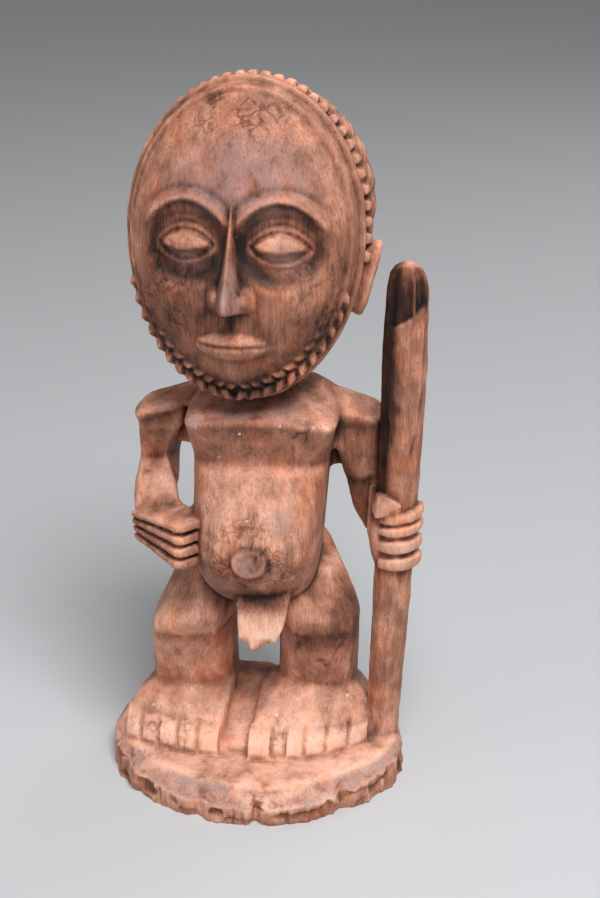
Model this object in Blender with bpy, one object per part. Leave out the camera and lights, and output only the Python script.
"""An ancestor figure holding a staff, carved with its base from one block of wood.

Metres, +Z up. The figure faces -Y and its left side, with the staff, is at +X. The origin is the
middle of the base's underside. The figure itself is laid out in parts: PARTS_TALL of them from
the top of the base to the crown, so one part is 1 mm at the real height. Tables of stations and
corners are in parts, measured from the middle of the base's top, and the base and the staff have
sizes of their own.
"""

import math

import bmesh
import bpy
from mathutils import Matrix, Vector
from mathutils.bvhtree import BVHTree

# Driving sizes
BASE_WIDTH = 0.125
BASE_DEPTH = 0.106
BASE_THICKNESS = 0.015
BASE_WORN_WIDTH = 0.0085
BASE_WORN_DROP = 0.0075
FIGURE_HEIGHT = 0.285
STAFF_LENGTH = 0.216
STAFF_WIDTH = 0.0165
STAFF_TO_RIM = 0.0111
STAFF_BACK = 0.004
FINIAL_LENGTH = 0.021
FINIAL_RECESS = 0.0018

# The layout of the figure
PARTS_TALL = 285
PART = FIGURE_HEIGHT / PARTS_TALL
# The feet fill the base from front to back, so they lengthen with it
FEET_LENGTH = BASE_DEPTH / PART / 106
BASE_TO_RIGHT = -2.8
GRIP = Vector((56.2, -6, 97.5))
HEAD_PLACE = Vector((-2.7, -12, 225))
HEAD_LEANS_BACK = math.radians(8)
HEAD_TURNS_RIGHT = math.radians(5)
CARVED_GRAIN = 1.1 * PART
TRUNK_SMOOTHING = 5
LEG_SMOOTHING = 13
EDGE_SMOOTHING = 2
SOLID_TRIANGLES = 9400
WOOD = (0.42, 0.235, 0.15, 1.0)

# How square an outline is: 2 is an oval
OVAL = 2
NEARLY_OVAL = 2.2
LIMB_SQUARENESS = 2.6
BAR_SQUARENESS = 3.5
FINGER_SQUARENESS = 5


def clear_scene():
    """Starts from an empty scene."""
    for obj in list(bpy.data.objects):
        bpy.data.objects.remove(obj)


def mixed(a, b, share):
    """A value, or each value of a tuple, a share of the way from a to b."""
    return tuple(p + (q - p) * share for p, q in zip(a, b))


def eased(stations, steps):
    """The stations with points between them on a Catmull-Rom curve through them all."""
    ends = [stations[0], *stations, stations[-1]]
    found = []
    for before, here, there, after in zip(ends, ends[1:], ends[2:], ends[3:]):
        for step in range(steps):
            s = step / steps
            found.append(tuple(
                0.5 * (2 * q + (r - p) * s + (2 * p - 5 * q + 4 * r - t) * s * s
                       + (3 * q - 3 * r + t - p) * s ** 3)
                for p, q, r, t in zip(before, here, there, after)))
    found.append(tuple(stations[-1]))
    return found


def ring(bm, centre, across, along, squareness, sides):
    """One closed outline round centre: a rounded oval, squarer as squareness grows past 2."""
    made = bmesh.ops.create_circle(bm, segments=sides, radius=1)
    for vert in made["verts"]:
        x, y = vert.co.x, vert.co.y
        reach = (abs(x) ** squareness + abs(y) ** squareness) ** (-1 / squareness)
        vert.co = centre + across * (x * reach) + along * (y * reach)
    return list({edge for vert in made["verts"] for edge in vert.link_edges})


def skin(bm, rings):
    """Joins the rings one after the other and closes both ends."""
    for below, above in zip(rings, rings[1:]):
        bmesh.ops.bridge_loops(bm, edges=below + above)
    for end in (rings[0], rings[-1]):
        bmesh.ops.contextual_create(bm, geom=end)


def limb(bm, stations, side, squareness=LIMB_SQUARENESS, steps=4, sides=24):
    """A limb through stations of (x, y, z, half its width, half its thickness), in parts.

    side is the direction in which its width is measured.
    """
    path = eased(stations, steps)
    rings = []
    for i, (x, y, z, width, thickness) in enumerate(path):
        before = Vector(path[max(i - 1, 0)][:3])
        after = Vector(path[min(i + 1, len(path) - 1)][:3])
        run = (after - before).normalized()
        across = (Vector(side) - run * run.dot(Vector(side))).normalized()
        along = run.cross(across)
        rings.append(ring(bm, Vector((x, y, z)), across * width, along * thickness,
                          squareness, sides))
    skin(bm, rings)


def egg(bm, centre, radii, turn=Matrix.Identity(3), fineness=3):
    """A rounded lump with those three half sizes, in parts."""
    made = bmesh.ops.create_icosphere(bm, subdivisions=fineness, radius=1)
    for vert in made["verts"]:
        vert.co = Vector(centre) + turn @ Vector(v * r for v, r in zip(vert.co, radii))


def wedge(bm, start, end, breadth, height, up, taper=0.8):
    """A bar with softened edges from start to end, such as a finger, in parts."""
    run = (Vector(end) - Vector(start)).normalized()
    rise = (Vector(up) - run * run.dot(Vector(up))).normalized()
    across = rise.cross(run)
    half = Vector((breadth, height)) / 2
    rings = []
    for share, size in ((0, 0.7), (0.06, 1), (0.9, taper), (1, taper * 0.72)):
        middle = Vector(start).lerp(Vector(end), share)
        rings.append(ring(bm, middle, across * half.x * size, rise * half.y * size,
                          BAR_SQUARENESS, 12))
    skin(bm, rings)


def block(bm, corners):
    """A flat-sided block with those corners, in parts."""
    verts = [bm.verts.new(corner) for corner in corners]
    hull = bmesh.ops.convex_hull(bm, input=verts)
    spare = {item for item in hull["geom_interior"] + hull["geom_unused"]
             if isinstance(item, bmesh.types.BMVert)}
    bmesh.ops.delete(bm, geom=list(spare), context="VERTS")


# The torso and neck

TORSO = (
    # middle x, front y, back y, height, half width, squareness, droop of the corners
    (1, -14, 22, 66, 19, 2.6, 0),
    (0.6, -27, 26, 75, 22.5, 2.6, 0),
    (0.4, -34, 27, 83, 24.5, 2.7, 0),
    (0.4, -38.5, 26, 92, 25.6, 2.8, 0),
    (0.9, -39.5, 23, 101, 26.3, 2.8, 0),
    (1.7, -36.5, 20, 115, 26.7, 2.9, 0),
    (2.1, -31.5, 18, 126, 27, 3.0, 0),
    (2.2, -29.6, 18, 129.8, 27.1, 3.1, 0.4),
    (2.2, -28.2, 18, 131.4, 27.2, 3.1, 0.6),
    (2.2, -25.6, 18, 133, 27.6, 3.3, 0.8),
    (2.4, -26.4, 19, 139, 28.4, 4.6, 1.2),
    (2.8, -29.4, 20, 148.5, 29.8, 6.2, 2.4),
    (3, -30.4, 20, 151.4, 30.4, 7, 3),
    (3, -29.6, 20, 152.9, 30.2, 6.5, 3.2),
    (2.8, -21, 18, 156.3, 28.8, 4.6, 2.6),
    (2, -12, 16, 159.5, 24, 3, 1),
)
NECK = ((2, 3, 148, 20, 18), (2, 1, 163, 17, 16), (1, 0, 176, 16, 16), (0, 2, 190, 14, 14))
NAVEL = Vector((0.7, -41.2, 97))
NAVEL_HALF = 7.2


def build_torso(bm):
    """The swelling belly under the flat chest, which ends in a shelf."""
    rings = []
    for x, front, back, z, width, squareness, droop in eased(TORSO, 4):
        middle = Vector((x, (front + back) / 2, z))
        across, along = Vector((width, 0, 0)), Vector((0, (back - front) / 2, 0))
        rings.append(ring(bm, middle, across, along, squareness, 48))
        for vert in {vert for edge in rings[-1] for vert in edge.verts}:
            vert.co.z -= droop * min(1.0, abs(vert.co.x - x) / width) ** 2.5
    skin(bm, rings)
    limb(bm, NECK, (1, 0, 0), NEARLY_OVAL)


def build_navel(bm):
    """The low disc of the navel."""
    rings = []
    for inwards, size in ((8, 1.1), (2.2, 1.06), (0.6, 1), (0, 0.9), (0, 0.5)):
        half = NAVEL_HALF * size
        rings.append(ring(bm, NAVEL + Vector((0, inwards, 0)), Vector((half, 0, 0)),
                          Vector((0, 0.12 * half, 0.84 * half)), NEARLY_OVAL, 18))
    skin(bm, rings)


# The arms and hands

RIGHT_ARM = (
    # the sloping cap of the shoulder
    ((-49.5, -6.3, 143.8), (-48, -7, 145.8), (-31.5, -9, 152.4), (-31, -8, 149),
     (-49, -5, 142.3), (-51.6, 0, 143.2), (-51.6, 8, 143.2), (-51.2, 2, 145.2),
     (-46.5, 3, 150.2), (-27, 3, 156.4), (-46, 10, 149), (-27, 13, 154.5),
     (-49, 14, 143), (-24, 17, 149), (-24, -8, 153)),
    # the upper arm, which joins the chest and then leaves it
    ((-49.2, -4.6, 144), (-30, -6.3, 151), (-49, -3.2, 137), (-32, -4.8, 138.5),
     (-50, 14, 143), (-26, 17, 149), (-50, 16, 137), (-30, 18, 138)),
    ((-49, -3.2, 138.5), (-32.5, -4.6, 140), (-49.6, 1.6, 123.5), (-39, 0.8, 125),
     (-50, 16, 138), (-31, 18, 138), (-50.8, 20, 120), (-36, 19, 120)),
    # the elbow and the forearm's flat top
    ((-49.8, 2.2, 124), (-38.6, 1.2, 125.2), (-53.3, 8, 109), (-52.8, 3, 108.5),
     (-50.8, 20, 121), (-36, 19, 121), (-51.5, 22, 108), (-38, 22, 108),
     (-51, 8, 100), (-38, 8, 100), (-50, 17, 102), (-39, 17, 102), (-34.5, 6, 113)),
    ((-49.8, 2.2, 124), (-38.6, 1.2, 125), (-53, 4, 110), (-52.3, -2, 106.5),
     (-50.6, -9, 104), (-34, -2, 113.5), (-31, -12, 108), (-51, 4, 97),
     (-49.8, -9, 95.5), (-36, 2, 100), (-32, -12, 96), (-52, 12, 104), (-38, 12, 104)),
    # the hand
    ((-50, -8, 103.4), (-31, -8, 108.5), (-22, -24, 111.5), (-22.6, -30, 109.4),
     (-49.2, -9, 95.6), (-33, -8, 93), (-20, -24, 90.6), (-24, -29, 91)),
    # the wood left standing in the armpit
    ((-42, 4, 152), (-26, 2, 152), (-40, 5, 131), (-27, 4, 128.5), (-42, 16, 152),
     (-26, 16, 152), (-40, 16, 130), (-26, 16, 128)),
)
LEFT_ARM = (
    ((26, 3, 157), (35.6, 3, 155.6), (47.3, 3, 151), (51.8, 1, 146.6), (51.8, 9, 146),
     (26, 13, 155), (46, 12, 149), (30.9, -9.6, 150.6), (37, -9.4, 149.6), (50, -6, 145.2),
     (51.5, -3, 141), (30.9, -9, 145), (49, 15, 143), (26, 17, 149), (26, -8, 152)),
    ((30, -9.2, 150), (51, -5, 146), (31.6, -7.6, 134.6), (50.5, -3.5, 132),
     (27, 17, 149), (51, 15, 143), (32, 18, 134), (51, 16, 132)),
    ((31.8, -7.5, 135.5), (50.5, -3.5, 134), (40.6, -2.6, 119), (46, -3, 122.4),
     (50, -2, 122.4), (35, 1.5, 118), (33.6, 10, 122), (32, 18, 134), (51, 16, 132),
     (36.5, 19, 116), (50, 18, 116)),
    ((35, 1.5, 118.5), (40.6, -1.6, 119.4), (46, -1.6, 121.5), (50, -1, 121),
     (36.5, 19, 116), (50, 19, 116), (38, 6, 103), (37.5, 16, 103), (50, 18, 100),
     (43, 7, 92.5), (43, 16, 92), (50, 16, 90), (50, 3, 100), (44.5, 3, 104)),
    # the back of the hand, at the staff
    ((45.4, -10, 119.5), (49, -10.5, 121), (44.4, -9.6, 99), (47, -8.6, 89.5),
     (51, -9, 88), (47.5, 8, 114), (52, 8, 114), (46, 8, 95), (52, 12, 92),
     (50, 5, 87)),
    # the wood left standing in the armpit
    ((42, 2, 152), (28, 0, 152), (36, 4, 124), (28, 3, 122), (42, 16, 152),
     (28, 16, 152), (37, 16, 122), (28, 16, 121)),
)
HAND_ON_BELLY = 4
BELLY_FINGER_WIDTH = 2.7
BELLY_FINGER_DEPTH = 8
STAFF_FINGERS = (
    # the finger's middle over the grip, how much higher its knuckle is than its tip, half width
    (10.7, 3.5, 2.4),
    (4.4, 2, 2.1),
    (-3, 1, 2.8),
    (-11, 1.2, 2.8),
)
STAFF_FINGER_TURN = 228
STAFF_FINGER_RUN = 150
THUMB = ((-9.4, -7.5, 13), (-6.8, -11.2, 20.2), (-3.4, -11.6, 20.4), (3.4, -11.6, 16.6),
         (2.6, -10.4, 12.6), (-7.6, -10.8, 10.4), (-9.6, 2, 18), (-5, -4, 21), (-9.8, 3, 10))


def build_arms(bm):
    """The arm laid on the belly and the arm that holds the staff."""
    for corners in RIGHT_ARM + LEFT_ARM:
        block(bm, corners)


def build_fingers(bm):
    """The long fingers on the belly, which spread towards their tips."""
    for i in range(HAND_ON_BELLY):
        share = i / (HAND_ON_BELLY - 1)
        start = mixed((-50.2, -9.2, 103.4), (-49.2, -10.4, 94.6), share)
        end = mixed((-22.4, -32.4, 108.6), (-23.4, -32.6, 92.2), share)
        wedge(bm, start, end, BELLY_FINGER_WIDTH, BELLY_FINGER_DEPTH, (-0.66, -0.75, 0), 1.62)


def build_grip(bm):
    """The palm at the staff's inner side, four fingers round its front and the thumb on top."""
    reach = STAFF_WIDTH / PART / 2
    up = (staff_axis(0.5) - staff_axis(0.4)).normalized()
    egg(bm, GRIP + Vector((-reach * 0.75, 2, 0)), (4.8, 9, 16))
    steps = 12
    for height, slant, half in STAFF_FINGERS:
        rings = []
        for step in range(steps + 1):
            share = step / steps
            turn = math.radians(STAFF_FINGER_TURN + STAFF_FINGER_RUN * share)
            spoke = Vector((math.cos(turn), math.sin(turn), 0))
            wide = half * (0.5 + 0.5 * math.sin(math.pi * min(1, 0.15 + 0.62 * share)))
            middle = GRIP + up * (height + slant * (share - 0.5)) + spoke * reach
            rings.append(ring(bm, middle, spoke * (1.6 + 1.4 * share), up * wide,
                              FINGER_SQUARENESS, 12))
        skin(bm, rings)
    block(bm, [GRIP + Vector(corner) for corner in THUMB])


# The legs, feet and loin

MID_LEGS = -0.5
RIGHT_LEG = (
    # the thigh, down to the lower edge of the knee
    ((-44.6, -12.5, 50.6), (-31, -17, 51.2), (-17, -16.5, 52.4), (-46.8, 0, 48.4),
     (-46, 12, 50), (-43.6, -12.5, 56), (-30, -20, 59), (-16, -18.5, 61),
     (-44.7, 0, 56), (-40.9, 5, 63), (-37.4, 8, 71), (-33, 10, 80), (-30, -6, 78),
     (-14, -17, 80), (-8, -14, 84), (-5, 0, 86), (-9.5, -10, 60), (-11, 8, 56),
     (-34, 28, 60), (-12, 32, 64), (-12, 30, 84), (-28, 27, 80)),
    # the shin, which leans back to the ankle
    ((-44.3, -12.4, 53), (-31, -16.6, 54), (-17, -16, 54), (-46.6, 0, 50), (-45.8, 12, 50),
     (-12.4, -8, 53), (-11.2, 8, 55), (-40, 24, 54), (-14, 24, 54), (-44.4, -2, 22),
     (-31, -5.6, 23), (-15, -5, 24), (-47.4, 6, 17), (-46.6, 18, 12),
     (-12, 3, 18), (-12, 16, 14), (-42, 31, 12), (-17, 31, 12)),
)
LEFT_LEG = (
    ((39.6, -11.5, 53.6), (29, -16.5, 53.8), (16, -16, 53.6), (41.6, 0, 54), (41, 12, 54),
     (39.6, -11.5, 60), (28, -19.5, 62), (15, -18.5, 62), (41.7, 0, 59), (39.4, 4, 66),
     (32.6, 9, 78), (29, -6, 79), (13, -17, 80), (7, -14, 84), (4, 0, 86),
     (8, -10, 60), (7, 8, 56), (32, 28, 60), (9, 32, 64), (9, 30, 84), (27, 27, 80)),
    ((39.2, -11.4, 56), (28, -16.2, 56), (16, -15.6, 56), (41.4, 0, 55), (41, 12, 55),
     (10.5, -9, 55), (7, 8, 56), (38, 24, 56), (10, 24, 56), (37, -3, 24),
     (28, -5.4, 25), (13, -4.4, 25), (39, 7, 20), (39.6, 20, 14), (7.5, 3, 22),
     (6.6, 16, 16), (37, 31, 12), (11, 31, 12)),
)
RIGHT_FOOT = (
    (-45.6, -1, 22.4), (-30, -3, 23.6), (-11.6, -3.6, 24.4), (-46.4, 12, 21), (-11, 14, 23.4),
    (-54.6, -2, 14.8), (-54, 10, 12.6), (-57, -5, 8), (-55.8, -8.4, 8.4),
    (-40, -12.8, 9.8), (-15.8, -19.6, 10), (-12.2, 20, 14), (-12.3, 34, 10),
    (-55.4, 8, 7), (-49.2, 16, 13), (-47, 22, 13.5), (-44, 39, 9), (-15, 40, 9),
    (-56.4, -9, -2), (-15.8, -20.8, -2), (-57.6, -7, -2), (-55.6, 8, -2),
    (-49, 26, -2), (-44, 42, -2), (-12.6, 42, -2), (-15, -21, -2))
LEFT_FOOT = (
    (9.6, -3.6, 26), (24, -4, 26.4), (36.6, -2, 25.4), (3.6, 8, 23.2), (4, 14, 22),
    (38, 13, 24), (43.4, 1, 19), (44.6, 12, 13), (-2.2, -20.8, 9.6), (14, -20.2, 10),
    (28, -16, 10), (40.6, -9, 9.4), (44.2, -6, 8.4), (47.6, -2, 6.6), (49.6, 0, 5),
    (-0.6, 4, 19.4), (0.3, 20, 12), (0.5, 34, 10), (48, 9, 8), (45.5, 25, 9), (40, 39, 9),
    (3, 40, 9), (-2.6, -22, -2), (14.5, -21, -2), (28, -16.4, -2), (42.6, -7.6, -2),
    (50.6, -1.5, -2), (51, 8, -2), (47, 28, -2), (41, 42, -2), (0.6, 42, -2))
# The floor of the channel between the feet
CHANNEL = ((-13, 8, 19.6), (2, 8, 19.6), (-13, 24, 19), (2, 24, 19), (-17, -21, 0.6),
           (-1, -21, 0.6), (-13, 40, 4), (2, 40, 4), (-17, -21, -2), (-1, -21, -2),
           (-13, 40, -2), (2, 40, -2))
LOIN = (
    (-6.4, -29, 78.5), (16.4, -29, 80), (-6.2, -32.4, 66), (14, -32.4, 66),
    (-5.6, -33.4, 58.4), (-1.2, -34, 56), (1.6, -34, 53), (5, -34, 55.4), (10.6, -33.4, 57.4),
    (-5, -20, 82), (15.4, -20, 83), (-4.4, -25.4, 58.6), (1.6, -26, 54.4), (9.6, -25.4, 58.4),
    (-5, -25, 86), (15, -25, 87))
TOE_GAP = 0.75
TOES = (
    # x and y of both corners of each toe's tip, from the outer toe to the inner one
    (-57, -14.6, -50, -18), (-50, -18, -42.4, -20.8), (-42.4, -20.8, -33.6, -23.4),
    (-33.6, -23.4, -24.8, -25.4), (-24.8, -25.4, -15.8, -26.8),
    (46, -8.6, 38.7, -15.6), (38.7, -15.6, 29.7, -21.8), (29.7, -21.8, 20.8, -25.4),
    (20.8, -25.4, 12.6, -27.4), (12.6, -25, 7, -25.6), (7, -28, -2.8, -28.6),
)


def build_legs(bm):
    """Two short legs bent at the knee, the seat behind them, the feet and the loin piece."""
    for corners in (*RIGHT_LEG, *LEFT_LEG, LOIN):
        block(bm, corners)
    for side in (-1, 1):
        egg(bm, (MID_LEGS + side * 14.5, 19, 75), (15.5, 15, 16))
    for corners in (RIGHT_FOOT, LEFT_FOOT, CHANNEL):
        block(bm, [(x, y * FEET_LENGTH, z) for x, y, z in corners])


def build_toes(bm):
    """The short toes along the fronts of the feet, with a cut between each two."""
    profile = ((0, -2), (0.4, 3), (1.9, 6.8), (6, 10), (12, 13), (12, -2))
    for x, y, next_x, next_y in TOES:
        run = math.copysign(TOE_GAP, next_x - x)
        corners = []
        for at_x, at_y in ((x + run, y), (next_x - run, next_y)):
            corners += [(at_x, (at_y + back) * FEET_LENGTH, z) for back, z in profile]
        block(bm, corners)


# The head

HEAD_HALF_WIDTH = 45
HEAD_UP = 56.5
HEAD_DOWN = 64.5
FACE_BULGE = 27
FACE_BACKING = 16
SKULL_PLACE = (0, 17, 9)
SKULL = (46.3, 37, 47)
HAIR_KNOBS = 33
HAIR_KNOB_HALF = 2.3
BEARD_LOCKS = 29
BEARD_TILT = 48
LOCK_LEAN = 38
BEARD_LOCK = ((-3.6, 0, -2.4), (3.8, 0, -0.4), (3.4, 0, -2.4), (-1.2, -2, -2.4),
              (-1, 2, -2.4), (-1.4, -1.5, 1.2), (-1, 1.5, 1.2), (0.6, 0, 2.6),
              (-3, 0, 0.8))
EYE_OUT = 18
EYE_HALF = 10
EYE_HEIGHT = -4
NOSE_TOP = 9
NOSE_BASE = -28
MOUTH_HEIGHT = -41.5
LIP_RISE = 4.2
BROW_HALF = 2
BROW_RISE = 2.6


def outline(turn, grow=0.0):
    """A point (x, z) on the head's egg-shaped outline. turn is measured from the crown."""
    half = HEAD_UP if math.cos(turn) > 0 else HEAD_DOWN
    return (HEAD_HALF_WIDTH + grow) * math.sin(turn), (half + grow) * math.cos(turn)


def build_face_shield(bm):
    """The domed face, thickest in the middle and closed by a shallower back."""
    made = bmesh.ops.create_icosphere(bm, subdivisions=5, radius=1)
    for vert in made["verts"]:
        x, y, z = vert.co
        from_middle = min(math.hypot(x, z), 1)
        turn = math.atan2(x, z)
        out_x, out_z = outline(turn)
        depth = FACE_BULGE if y < 0 else FACE_BACKING
        vert.co = Vector((out_x * from_middle, math.copysign(abs(y) ** 0.82, y) * depth,
                          out_z * from_middle))


def build_skull(bm):
    """The rounded back of the head under its cap of hair."""
    egg(bm, SKULL_PLACE, SKULL, fineness=4)


def build_ears(bm):
    """A flat ear on each side, behind the rim of the face."""
    for side in (-1, 1):
        turn = Matrix.Rotation(side * math.radians(14), 3, "Y") @ Matrix.Rotation(
            side * math.radians(12), 3, "Z")
        egg(bm, (side * 44.2, 12, -17.5), (5.6, 9, 15), turn)


def build_hair_band(bm):
    """A row of small knobs over the crown, from ear to ear behind the face's rim."""
    half = HAIR_KNOB_HALF
    for i in range(HAIR_KNOBS):
        turn = math.radians(-98 + 196 * i / (HAIR_KNOBS - 1))
        x, z = outline(turn, 0.3)
        facing = Matrix.Rotation(turn, 3, "Y")
        corners = []
        for out, size in ((-4, half), (1.2, half), (2.6, half * 0.65)):
            for along, deep in ((-1, -1), (1, -1), (1, 1), (-1, 1)):
                corner = Vector((along * size * 0.86, deep * size * 1.25, out))
                corners.append(Vector((x, 6.4, z)) + facing @ corner)
        block(bm, corners)


def build_rim(bm):
    """The thin raised line that frames the face, and the ridge under the hair and beard."""
    rings = []
    count = 72
    for i in range(count + 1):
        turn = math.tau * i / count
        x, z = outline(turn, -0.4)
        spoke = Vector((math.sin(turn), 0, math.cos(turn)))
        rings.append(ring(bm, Vector((x, -2.5, z)), spoke * 2.2, Vector((0, 3, 0)), OVAL, 8))
    for below, above in zip(rings, rings[1:]):
        bmesh.ops.bridge_loops(bm, edges=below + above)
    bmesh.ops.remove_doubles(bm, verts=bm.verts, dist=1e-4)


def build_beard(bm):
    """The plait along the jaw: two rows of pointed locks that slant against each other."""
    tilt, lean = math.radians(BEARD_TILT), math.radians(LOCK_LEAN)
    front = Vector((0, -1, 0))
    for row in (-1, 1):
        for i in range(BEARD_LOCKS):
            turn = math.radians(99 + 162 * (i + 0.25 * (row + 1)) / (BEARD_LOCKS - 0.5))
            x, z = outline(turn, -3.6)
            spoke = Vector((math.sin(turn), 0, math.cos(turn)))
            out = spoke * math.cos(tilt) + front * math.sin(tilt)
            across = spoke * math.sin(tilt) - front * math.cos(tilt)
            along = across.cross(out) * (1 if turn < math.pi else -1)
            point = along * math.cos(lean * row) + across * math.sin(lean * row)
            wide = out.cross(point)
            middle = Vector((x, -8.6, z)) + across * (2.7 * row)
            block(bm, [middle + point * a + wide * b + out * c for a, b, c in BEARD_LOCK])


def ridge(bm, tree, path, half_width, rise, sides=8, steps=4):
    """A raised line along a path of (x, z, size) on the face, laid on its surface from the front.

    It is a bar half sunk in the face, and size is its share of the full width there.
    """
    rings = []
    points = eased(path, steps)
    laid = [on_face(tree, x, z) for x, z, _ in points]
    for i, (place, normal) in enumerate(laid):
        run = (laid[min(i + 1, len(laid) - 1)][0] - laid[max(i - 1, 0)][0]).normalized()
        across = normal.cross(run).normalized()
        size = points[i][2]
        rings.append(ring(bm, place, across * half_width * size, normal * rise * size, OVAL,
                          sides))
    skin(bm, rings)


def on_face(tree, x, z):
    """The point and the normal where a line along Y from the front meets the face."""
    place, normal, _, _ = tree.ray_cast(Vector((x, -200, z)), Vector((0, 1, 0)))
    return place, normal


def build_nose(bm):
    """A long wedge with a narrow bridge, wings and a flat base."""
    stations = (
        # height, half width at the root, how far its ridge stands out, half width of the ridge
        (NOSE_TOP + 5, 3, -25.5, 1.2),
        (NOSE_TOP - 1, 3.6, -28.5, 1.4),
        (NOSE_TOP - 12, 5, -32, 1.8),
        (NOSE_TOP - 22, 7, -36, 2.3),
        (NOSE_TOP - 30, 9, -39.5, 3.2),
        (NOSE_BASE, 9.5, -38.5, 3.6),
    )
    rings = []
    for z, root, stand, crest in eased(stations, 3):
        made = bmesh.ops.create_circle(bm, segments=12, radius=1)
        for vert in made["verts"]:
            front = max(0.0, -vert.co.y)
            width = root + (crest - root) * front ** 0.7
            y = -16 + (stand + 16) * front if vert.co.y < 0 else -16 + 4 * vert.co.y
            vert.co = Vector((vert.co.x * width, y, z))
        rings.append(list({edge for vert in made["verts"] for edge in vert.link_edges}))
    skin(bm, rings)


def almond(side, grow, lower=1.0):
    """The path round one eye, from its inner corner over the top, as (x, z, size)."""
    path = []
    for i in range(17):
        turn = math.tau * i / 16
        x = side * (EYE_OUT - (EYE_HALF + grow) * math.cos(turn))
        height = (4.6 + grow) * abs(math.sin(turn)) ** 1.25
        z = EYE_HEIGHT + (height if math.sin(turn) > 0 else -height * lower)
        path.append((x, z, 1.0))
    return path


def build_eyes(bm, tree):
    """Calm almond eyes under arched brows."""
    for side in (-1, 1):
        place, normal = on_face(tree, side * EYE_OUT, EYE_HEIGHT)
        facing = normal.to_track_quat("Z", "Y").to_matrix()
        egg(bm, place - normal * 1.2, (9, 4.6, 4.4), facing)
        ridge(bm, tree, almond(side, 1.2), 1.25, 2.2, 8, 1)
        brow = [(side * x, z, size) for x, z, size in (
            (3.5, 5, 0.8), (8, 10, 1.0), (18, 13.5, 1.1), (28, 10, 1.0), (34.5, 2, 0.6))]
        ridge(bm, tree, brow, BROW_HALF, BROW_RISE)


def build_mouth(bm, tree):
    """Full lips, gently closed."""
    for drop, width, thick in ((2.6, 15, 2.9), (-2.9, 13.5, 3.1)):
        path = []
        for i in range(9):
            share = i / 4 - 1
            arch = 1 - share * share
            path.append((share * width, MOUTH_HEIGHT + drop * (0.35 + 0.65 * arch),
                         0.35 + 0.65 * arch))
        ridge(bm, tree, path, thick, LIP_RISE, 10, 2)


def build_head(bm):
    """The whole head, leaned back and set on the neck."""
    head = bmesh.new()
    build_face_shield(head)
    tree = BVHTree.FromBMesh(head)
    build_nose(head)
    build_eyes(head, tree)
    build_mouth(head, tree)
    build_skull(head)
    build_ears(head)
    build_hair_band(head)
    build_beard(head)
    build_rim(head)
    turned = Matrix.Rotation(-HEAD_TURNS_RIGHT, 4, "Z") @ Matrix.Rotation(
        -HEAD_LEANS_BACK, 4, "X")
    bmesh.ops.transform(head, matrix=Matrix.Translation(HEAD_PLACE) @ turned,
                        verts=head.verts)
    mesh = bpy.data.meshes.new("head_shapes")
    head.to_mesh(mesh)
    head.free()
    bm.from_mesh(mesh)
    bpy.data.meshes.remove(mesh)


# The staff and the base

STAFF_BOW = Vector((-0.9, 0.3, 0))
STAFF_SIDES = 9
STAFF_TAPER = ((-0.03, 0.86), (0.1, 0.88), (0.45, 1.0), (0.8, 1.1), (0.9, 1.06), (0.955, 0.99),
               (0.978, 0.88), (0.993, 0.66), (1, 0.4))
PANELS = ((218, 290), (301, 346))


def staff_foot():
    """Where the staff's axis meets the base's top, in parts."""
    return Vector((BASE_WIDTH / 2 - STAFF_TO_RIM, STAFF_BACK, 0)) / PART


def staff_axis(share):
    """A point on the staff's axis, which bows a little and runs through the hand's grip."""
    foot = staff_foot()
    to_grip = GRIP - foot
    along = share * STAFF_LENGTH / PART / to_grip.length
    return foot + to_grip * along + STAFF_BOW * (along * (along - 1))


def staff_reach(turn, from_top):
    """The staff's half width in the direction turn: knife facets, and the finial's panels."""
    facet = math.tau / STAFF_SIDES
    reach = math.cos(facet / 2) / math.cos(turn % facet - facet / 2)
    degrees = math.degrees(turn) % 360
    slant = 1 + 0.25 * math.cos(turn)
    if from_top > FINIAL_LENGTH / PART * (2 - slant):
        return reach * STAFF_WIDTH / PART / 2
    cut = any(low < degrees < high for low, high in PANELS)
    return reach * STAFF_WIDTH / PART / 2 - cut * FINIAL_RECESS / PART


def build_staff(bm):
    """A stout stick with flat knife cuts along it, and two panels cut into its domed end."""
    length = STAFF_LENGTH / PART
    tail = FINIAL_LENGTH / PART / length
    shares = {share for share, _ in STAFF_TAPER}
    shares |= {1 - tail * (0.7 + 0.06 * step) for step in range(11)}
    rings = []
    for share in sorted(shares):
        low = max((p for p in STAFF_TAPER if p[0] <= share), key=lambda p: p[0])
        high = min((p for p in STAFF_TAPER if p[0] >= share), key=lambda p: p[0])
        part_way = (share - low[0]) / (high[0] - low[0]) if high[0] > low[0] else 0
        size = low[1] + (high[1] - low[1]) * part_way
        up = (staff_axis(share + 0.01) - staff_axis(share)).normalized()
        across = (Vector((1, 0, 0)) - up * up.x).normalized()
        along = up.cross(across)
        made = bmesh.ops.create_circle(bm, segments=54, radius=1)
        for vert in made["verts"]:
            turn = math.atan2(vert.co.y, vert.co.x)
            reach = staff_reach(turn, (1 - share) * length) * size
            vert.co = staff_axis(share) + (across * math.cos(turn)
                                           + along * math.sin(turn)) * reach
        rings.append(list({edge for vert in made["verts"] for edge in vert.link_edges}))
    skin(bm, rings)


NOTCHES = (
    # direction in degrees, half width in degrees, depth as a share of the half width
    (-106, 4, 0.05),
    (-84, 3, 0.06),
    (-48, 5, 0.035),
    (-150, 6, 0.03),
    (40, 5, 0.04),
    (112, 6, 0.03),
)


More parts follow.
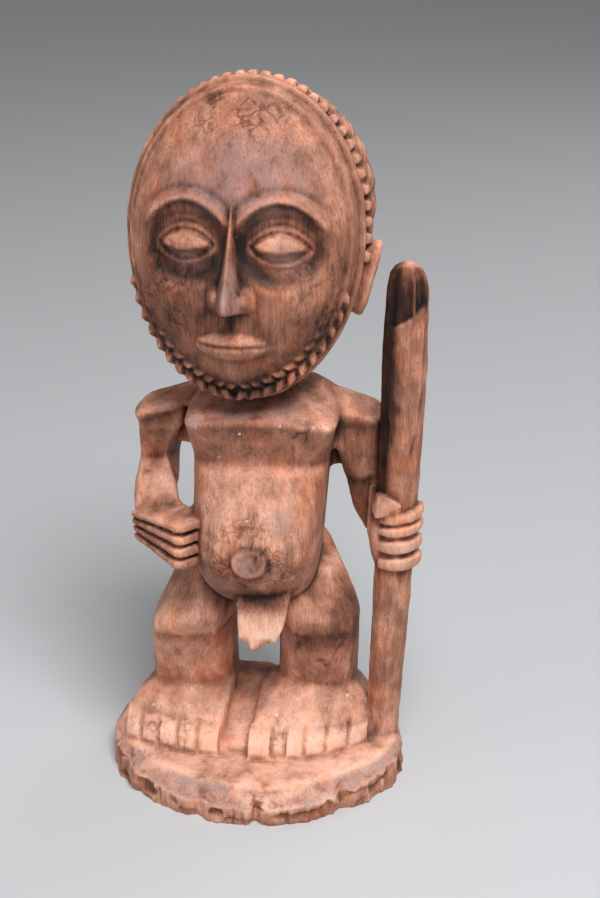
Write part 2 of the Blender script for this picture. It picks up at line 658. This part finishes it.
def base_reach(turn, notched):
    """How far the base's rim is from its middle in the direction turn, as a share.

    notched is the share of the notches' depth that is left at this level of the edge.
    """
    wave = 0.014 * math.sin(3 * turn + 0.6) + 0.01 * math.sin(5 * turn + 2.1)
    reach = 1 + wave + 0.03 * math.cos(2 * (turn + 0.9))
    for middle, half, depth in NOTCHES:
        off = abs(math.degrees(turn) - middle)
        reach -= notched * depth * max(0, 1 - off / half)
    return reach


def build_base(bm):
    """The round foot plate. Its upper edge is worn away, and its underside is flat."""
    thick = BASE_THICKNESS / PART
    half = Vector((BASE_WIDTH, BASE_DEPTH)) / PART / 2
    rings = []
    for sunk, drop, cut in ((thick + 2, 0, 0), (0, 1, 0), (0, 0.55, 0.45), (0, 0.22, 0.72),
                            (0, 0, 1.25)):
        made = bmesh.ops.create_circle(bm, segments=120, radius=1)
        for vert in made["verts"]:
            turn = math.atan2(vert.co.y, vert.co.x)
            wear = 0.4 + 0.6 * max(0, -math.sin(turn))
            reach = base_reach(turn, max(0, 1 - 1.5 * cut))
            inset = cut * wear * BASE_WORN_WIDTH / PART
            height = -sunk - drop * wear * BASE_WORN_DROP / PART
            vert.co = Vector((BASE_TO_RIGHT + vert.co.x * (half.x * reach - inset),
                              vert.co.y * (half.y * reach - inset), height))
        rings.append(list({edge for vert in made["verts"] for edge in vert.link_edges}))
    skin(bm, rings)


# One solid from all the shapes

def carved(name, shapes):
    """Makes one object at the real size from the shapes, which are in parts, and frees them."""
    place = Matrix.Translation((0, 0, BASE_THICKNESS)) @ Matrix.Scale(PART, 4)
    bmesh.ops.transform(shapes, matrix=place, verts=shapes.verts)
    bmesh.ops.recalc_face_normals(shapes, faces=shapes.faces)
    mesh = bpy.data.meshes.new(name)
    shapes.to_mesh(mesh)
    shapes.free()
    piece = bpy.data.objects.new(name, mesh)
    bpy.context.scene.collection.objects.link(piece)
    return piece


def settle(piece):
    """Puts what the modifiers of the piece give in its mesh."""
    bpy.context.view_layer.update()
    graph = bpy.context.evaluated_depsgraph_get()
    mesh = bpy.data.meshes.new_from_object(piece.evaluated_get(graph))
    piece.modifiers.clear()
    piece.data = mesh


def fuse(piece, rounds):
    """Makes the overlapping shapes of the piece one closed surface and softens its edges."""
    remesh = piece.modifiers.new("one_skin", "REMESH")
    remesh.mode = "VOXEL"
    remesh.voxel_size = CARVED_GRAIN
    smooth = piece.modifiers.new("softened", "SMOOTH")
    smooth.factor = 0.5
    smooth.iterations = rounds
    settle(piece)


def thin(piece, triangles):
    """Takes triangles away where the surface is even, until that many are left."""
    count = sum(len(face.vertices) - 2 for face in piece.data.polygons)
    decimate = piece.modifiers.new("facets", "DECIMATE")
    decimate.ratio = triangles / count
    settle(piece)


def cut_flat(piece):
    """Cuts the underside off level, where the block was sawn."""
    bm = bmesh.new()
    bm.from_mesh(piece.data)
    geometry = bm.verts[:] + bm.edges[:] + bm.faces[:]
    cut = bmesh.ops.bisect_plane(bm, geom=geometry, dist=1e-7, plane_co=(0, 0, 0),
                                 plane_no=(0, 0, -1), clear_outer=True)
    rim = [item for item in cut["geom_cut"] if isinstance(item, bmesh.types.BMEdge)]
    bmesh.ops.holes_fill(bm, edges=rim)
    bmesh.ops.triangulate(bm, faces=bm.faces[:])
    bm.to_mesh(piece.data)
    bm.free()


def wood():
    """The bare reddish wood."""
    material = bpy.data.materials.new("carved_wood")
    material.use_nodes = True
    surface = material.node_tree.nodes["Principled BSDF"]
    surface.inputs["Base Color"].default_value = WOOD
    surface.inputs["Roughness"].default_value = 0.72
    surface.inputs["Metallic"].default_value = 0.0
    return material


def main():
    """Builds the figure as one object."""
    clear_scene()
    trunk = bmesh.new()
    build_torso(trunk)
    build_arms(trunk)
    legs = bmesh.new()
    build_legs(legs)
    softened = [(carved("trunk", trunk), TRUNK_SMOOTHING), (carved("legs", legs), LEG_SMOOTHING)]
    details = bmesh.new()
    build_base(details)
    build_toes(details)
    build_navel(details)
    build_fingers(details)
    build_staff(details)
    build_grip(details)
    build_head(details)
    figure = carved("ancestor_figure", details)
    whole = bmesh.new()
    whole.from_mesh(figure.data)
    for piece, rounds in softened:
        fuse(piece, rounds)
        whole.from_mesh(piece.data)
        bpy.data.objects.remove(piece)
    whole.to_mesh(figure.data)
    whole.free()
    fuse(figure, EDGE_SMOOTHING)
    thin(figure, SOLID_TRIANGLES)
    cut_flat(figure)
    figure.data.materials.clear()
    figure.data.materials.append(wood())


main()
